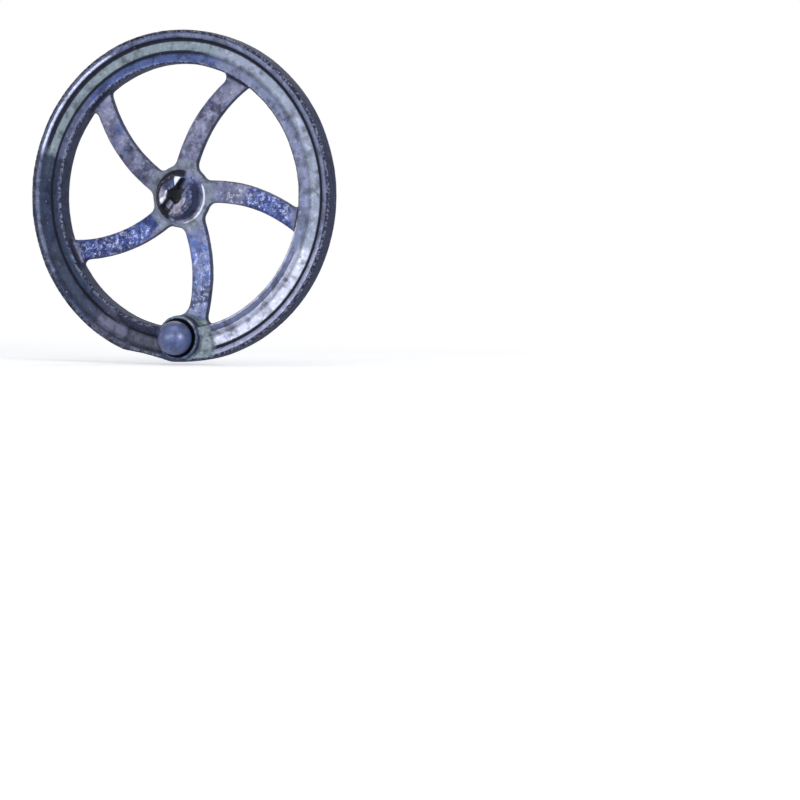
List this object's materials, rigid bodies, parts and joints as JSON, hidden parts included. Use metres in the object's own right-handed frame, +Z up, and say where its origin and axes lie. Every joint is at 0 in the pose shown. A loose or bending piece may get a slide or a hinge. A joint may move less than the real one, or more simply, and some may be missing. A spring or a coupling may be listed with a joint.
{
  "type": "handwheel",
  "caption": "Cast-iron machine handwheel with a channelled rim, swept spokes, a slotted hub and a turning ball knob on the rim.",
  "frame": {"origin": "on the shaft bore's axis, at the middle of the rim's depth", "axes": "+Y along the shaft bore towards the machine, so the operator's side faces -Y; +Z up, with the knob straight below the bore; +X to the operator's right"},
  "size_m": [0.3, 0.052, 0.3],
  "materials": {
    "painted_iron": "worn blue-grey paint over rough cast iron",
    "painted_knob": "blue paint over turned steel",
    "bare_steel": "dull bare steel"
  },
  "bodies": {
    "wheel": {"wheel": "painted_iron"},
    "knob": {"knob": "painted_knob", "washer": "bare_steel"}
  },
  "joints": [
    {"name": "knob_spin", "type": "hinge", "parent": "wheel", "child": "knob", "pos_m": [0.00223, 0, -0.12798], "axis": [0, 1, 0], "continuous": true}
  ]
}
